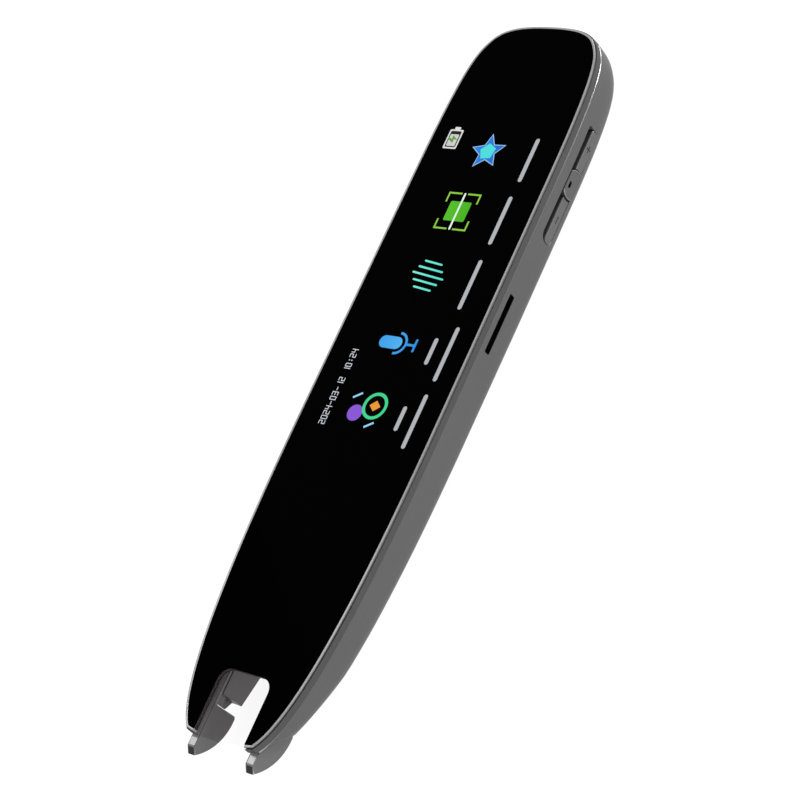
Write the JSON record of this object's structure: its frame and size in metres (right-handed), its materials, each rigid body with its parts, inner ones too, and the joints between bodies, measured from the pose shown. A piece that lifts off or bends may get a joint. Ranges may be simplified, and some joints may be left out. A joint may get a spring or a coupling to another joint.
{
  "type": "scanning pen",
  "caption": "Flat hand-held scanning pen with a full-length glass face, side keys, a grille on the back and a sprung two-fin scanning tip.",
  "frame": {"origin": "centre of the bounding box at its bottom, on the flat of the back that the pen rests on", "axes": "+Y along the pen from the scanning tip to the inlet, +Z out of the glass face, +X to the side with the keys"},
  "size_m": [0.033, 0.156, 0.013],
  "materials": {
    "glass": "black print under clear glass, polished",
    "casing": "satin metallic grey paint",
    "keys": "satin metallic grey paint",
    "trigger": "satin dark grey",
    "hood": "satin dark grey",
    "brushed_plate": "brushed along the length, grey anodised",
    "black_gloss": "gloss black",
    "bright_trim": "polished",
    "speaker_mesh": "woven wire",
    "rubber": "matte black foam and adhesive",
    "black_plastic": "matte black",
    "cone": "matte dark cone",
    "steel": "plain steel",
    "screws": "zinc plated",
    "display": "display film",
    "backlight": "silvered",
    "ribbon": "amber film",
    "circuit_board": "green lacquer",
    "chips": "matte black",
    "white_plastic": "matte white",
    "cell": "silver foil",
    "lens": "coated glass",
    "lamps": "pale yellow"
  },
  "bodies": {
    "pen_case": {"front_glass": "glass", "front_frame": "casing", "rear_shell": "casing", "key_saddle": "casing", "scan_hood": "hood", "back_plate": "brushed_plate", "sound_panel": "black_gloss", "camera_window": "black_gloss", "sound_trim": "bright_trim", "speaker_mesh": "speaker_mesh", "glass_seal": "rubber", "speaker_gasket": "rubber", "battery_pad": "rubber", "speaker_frame": "black_plastic", "inlet_tongue": "black_plastic", "upper_switch": "black_plastic", "lower_switch": "black_plastic", "trigger_switch": "black_plastic", "camera_holder": "black_plastic", "speaker_cone": "cone", "speaker_magnet": "steel", "shield_can": "steel", "inlet_socket": "steel", "card_socket": "steel", "microphone": "steel", "case_screw_1": "screws", "case_screw_2": "screws", "case_screw_3": "screws", "case_screw_4": "screws", "display_panel": "display", "display_backlight": "backlight", "display_ribbon": "ribbon", "camera_ribbon": "ribbon", "main_board": "circuit_board", "tip_board": "circuit_board", "key_board": "circuit_board", "camera_board": "circuit_board", "light_board": "circuit_board", "processor": "chips", "memory_chip": "chips", "wireless_antenna": "white_plastic", "battery_cell": "cell", "camera_lens": "lens", "left_lamp": "lamps", "right_lamp": "lamps"},
    "upper_button": {"upper_key": "keys", "upper_plunger": "white_plastic"},
    "lower_button": {"lower_key": "keys", "lower_plunger": "white_plastic"},
    "trigger": {"tip_trigger": "trigger", "trigger_plunger": "white_plastic"}
  },
  "joints": [
    {"name": "upper_key_press", "type": "slide", "parent": "pen_case", "child": "upper_button", "axis": [-1, 0, 0], "range_m": [0, 0.0003], "stiffness_N_per_m": 2500},
    {"name": "lower_key_press", "type": "slide", "parent": "pen_case", "child": "lower_button", "axis": [-1, 0, 0], "range_m": [0, 0.0003], "stiffness_N_per_m": 2500},
    {"name": "tip_press", "type": "slide", "parent": "pen_case", "child": "trigger", "axis": [0, 1, 0], "range_m": [0, 0.0005], "stiffness_N_per_m": 1500}
  ]
}
